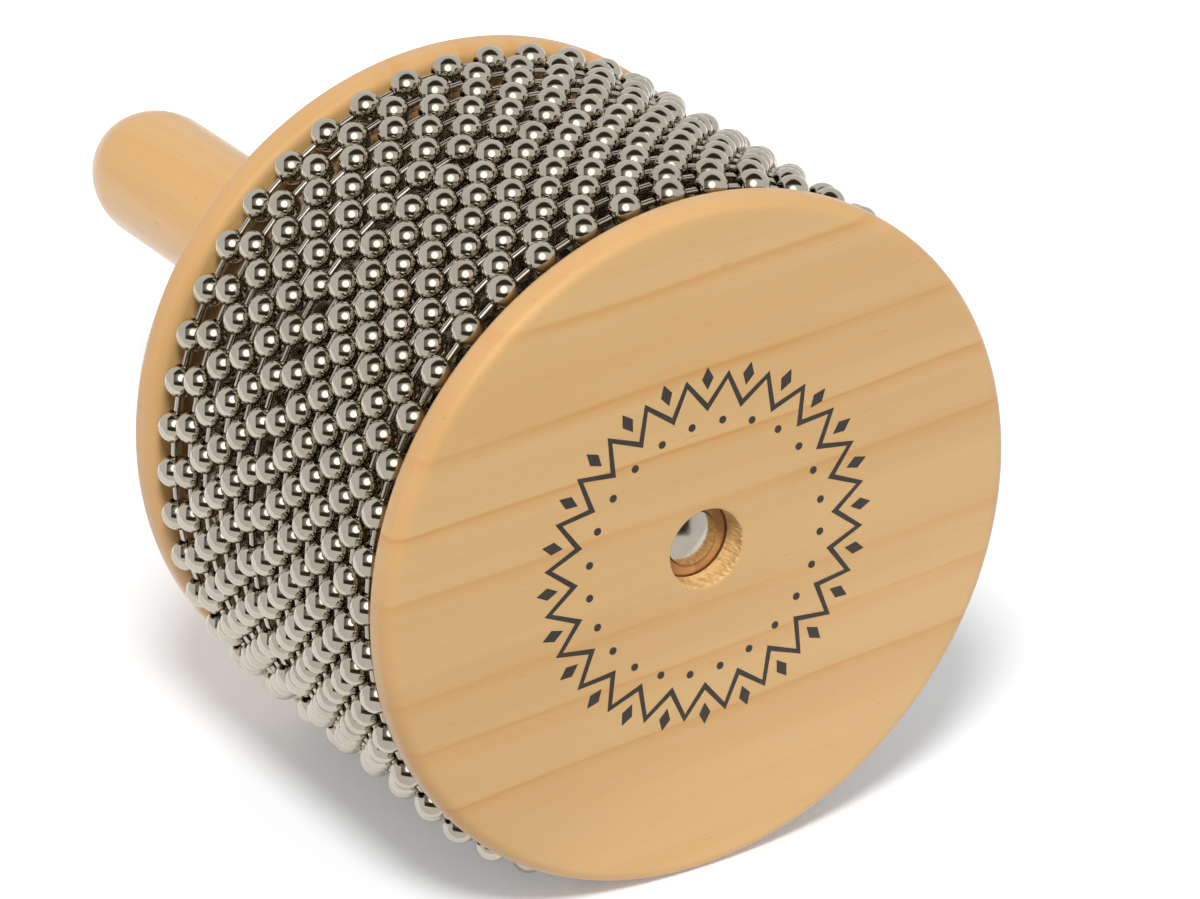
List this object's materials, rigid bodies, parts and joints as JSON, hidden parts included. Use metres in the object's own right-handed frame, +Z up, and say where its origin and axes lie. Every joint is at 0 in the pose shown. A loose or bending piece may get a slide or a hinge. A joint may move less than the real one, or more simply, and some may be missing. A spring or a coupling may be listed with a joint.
{
  "type": "cabasa",
  "caption": "Hand percussion instrument: loops of steel ball chain lie round a steel-sleeved drum between two wooden discs, on a round wooden handle, and turn round the drum to scrape it.",
  "frame": {"origin": "on the floor under the middle of the whole length, with the instrument lying on the rims of its discs", "axes": "+Y along the drum's axis from the front disc back to the end of the handle, +Z up, +X across the drum"},
  "size_m": [0.108, 0.1806, 0.108],
  "materials": {
    "disc_wood": "pale wood, satin lacquer",
    "handle_wood": "pale wood, satin lacquer",
    "core_wood": "bare wood",
    "sleeve_steel": "stippled stainless sheet",
    "bead_steel": "polished nickel plate",
    "link_steel": "polished nickel plate",
    "bolt_steel": "polished zinc plate",
    "insert_brass": "turned brass"
  },
  "bodies": {
    "drum": {"front_disc": "disc_wood", "rear_disc": "disc_wood", "drum_core": "core_wood", "steel_sleeve": "sleeve_steel", "handle": "handle_wood", "tie_bolt": "bolt_steel", "handle_insert": "insert_brass"},
    "bead_loop_01": {"bead_balls_01": "bead_steel", "bead_links_01": "link_steel"},
    "bead_loop_02": {"bead_balls_02": "bead_steel", "bead_links_02": "link_steel"},
    "bead_loop_03": {"bead_balls_03": "bead_steel", "bead_links_03": "link_steel"},
    "bead_loop_04": {"bead_balls_04": "bead_steel", "bead_links_04": "link_steel"},
    "bead_loop_05": {"bead_balls_05": "bead_steel", "bead_links_05": "link_steel"},
    "bead_loop_06": {"bead_balls_06": "bead_steel", "bead_links_06": "link_steel"},
    "bead_loop_07": {"bead_balls_07": "bead_steel", "bead_links_07": "link_steel"},
    "bead_loop_08": {"bead_balls_08": "bead_steel", "bead_links_08": "link_steel"},
    "bead_loop_09": {"bead_balls_09": "bead_steel", "bead_links_09": "link_steel"},
    "bead_loop_10": {"bead_balls_10": "bead_steel", "bead_links_10": "link_steel"},
    "bead_loop_11": {"bead_balls_11": "bead_steel", "bead_links_11": "link_steel"},
    "bead_loop_12": {"bead_balls_12": "bead_steel", "bead_links_12": "link_steel"},
    "bead_loop_13": {"bead_balls_13": "bead_steel", "bead_links_13": "link_steel"},
    "bead_loop_14": {"bead_balls_14": "bead_steel", "bead_links_14": "link_steel"}
  },
  "joints": [
    {"name": "bead_loop_01_turn", "type": "hinge", "parent": "drum", "child": "bead_loop_01", "pos_m": [0, -0.08109, 0.054], "axis": [0, 1, 0], "continuous": true},
    {"name": "bead_loop_02_turn", "type": "hinge", "parent": "drum", "child": "bead_loop_02", "pos_m": [0, -0.07704, 0.054], "axis": [0, 1, 0], "continuous": true},
    {"name": "bead_loop_03_turn", "type": "hinge", "parent": "drum", "child": "bead_loop_03", "pos_m": [0, -0.07299, 0.054], "axis": [0, 1, 0], "continuous": true},
    {"name": "bead_loop_04_turn", "type": "hinge", "parent": "drum", "child": "bead_loop_04", "pos_m": [0, -0.06894, 0.054], "axis": [0, 1, 0], "continuous": true},
    {"name": "bead_loop_05_turn", "type": "hinge", "parent": "drum", "child": "bead_loop_05", "pos_m": [0, -0.0649, 0.054], "axis": [0, 1, 0], "continuous": true},
    {"name": "bead_loop_06_turn", "type": "hinge", "parent": "drum", "child": "bead_loop_06", "pos_m": [0, -0.06085, 0.054], "axis": [0, 1, 0], "continuous": true},
    {"name": "bead_loop_07_turn", "type": "hinge", "parent": "drum", "child": "bead_loop_07", "pos_m": [0, -0.0568, 0.054], "axis": [0, 1, 0], "continuous": true},
    {"name": "bead_loop_08_turn", "type": "hinge", "parent": "drum", "child": "bead_loop_08", "pos_m": [0, -0.05275, 0.054], "axis": [0, 1, 0], "continuous": true},
    {"name": "bead_loop_09_turn", "type": "hinge", "parent": "drum", "child": "bead_loop_09", "pos_m": [0, -0.04815, 0.054], "axis": [0, 1, 0], "continuous": true},
    {"name": "bead_loop_10_turn", "type": "hinge", "parent": "drum", "child": "bead_loop_10", "pos_m": [0, -0.04355, 0.054], "axis": [0, 1, 0], "continuous": true},
    {"name": "bead_loop_11_turn", "type": "hinge", "parent": "drum", "child": "bead_loop_11", "pos_m": [0, -0.03895, 0.054], "axis": [0, 1, 0], "continuous": true},
    {"name": "bead_loop_12_turn", "type": "hinge", "parent": "drum", "child": "bead_loop_12", "pos_m": [0, -0.03435, 0.054], "axis": [0, 1, 0], "continuous": true},
    {"name": "bead_loop_13_turn", "type": "hinge", "parent": "drum", "child": "bead_loop_13", "pos_m": [0, -0.02975, 0.054], "axis": [0, 1, 0], "continuous": true},
    {"name": "bead_loop_14_turn", "type": "hinge", "parent": "drum", "child": "bead_loop_14", "pos_m": [0, -0.02515, 0.054], "axis": [0, 1, 0], "continuous": true}
  ],
  "couplings": [
    {"joint": "bead_loop_02_turn", "follows": "bead_loop_01_turn", "ratio": 1},
    {"joint": "bead_loop_03_turn", "follows": "bead_loop_01_turn", "ratio": 1},
    {"joint": "bead_loop_04_turn", "follows": "bead_loop_01_turn", "ratio": 1},
    {"joint": "bead_loop_05_turn", "follows": "bead_loop_01_turn", "ratio": 1},
    {"joint": "bead_loop_06_turn", "follows": "bead_loop_01_turn", "ratio": 1},
    {"joint": "bead_loop_07_turn", "follows": "bead_loop_01_turn", "ratio": 1},
    {"joint": "bead_loop_08_turn", "follows": "bead_loop_01_turn", "ratio": 1},
    {"joint": "bead_loop_09_turn", "follows": "bead_loop_01_turn", "ratio": 1},
    {"joint": "bead_loop_10_turn", "follows": "bead_loop_01_turn", "ratio": 1},
    {"joint": "bead_loop_11_turn", "follows": "bead_loop_01_turn", "ratio": 1},
    {"joint": "bead_loop_12_turn", "follows": "bead_loop_01_turn", "ratio": 1},
    {"joint": "bead_loop_13_turn", "follows": "bead_loop_01_turn", "ratio": 1},
    {"joint": "bead_loop_14_turn", "follows": "bead_loop_01_turn", "ratio": 1}
  ]
}
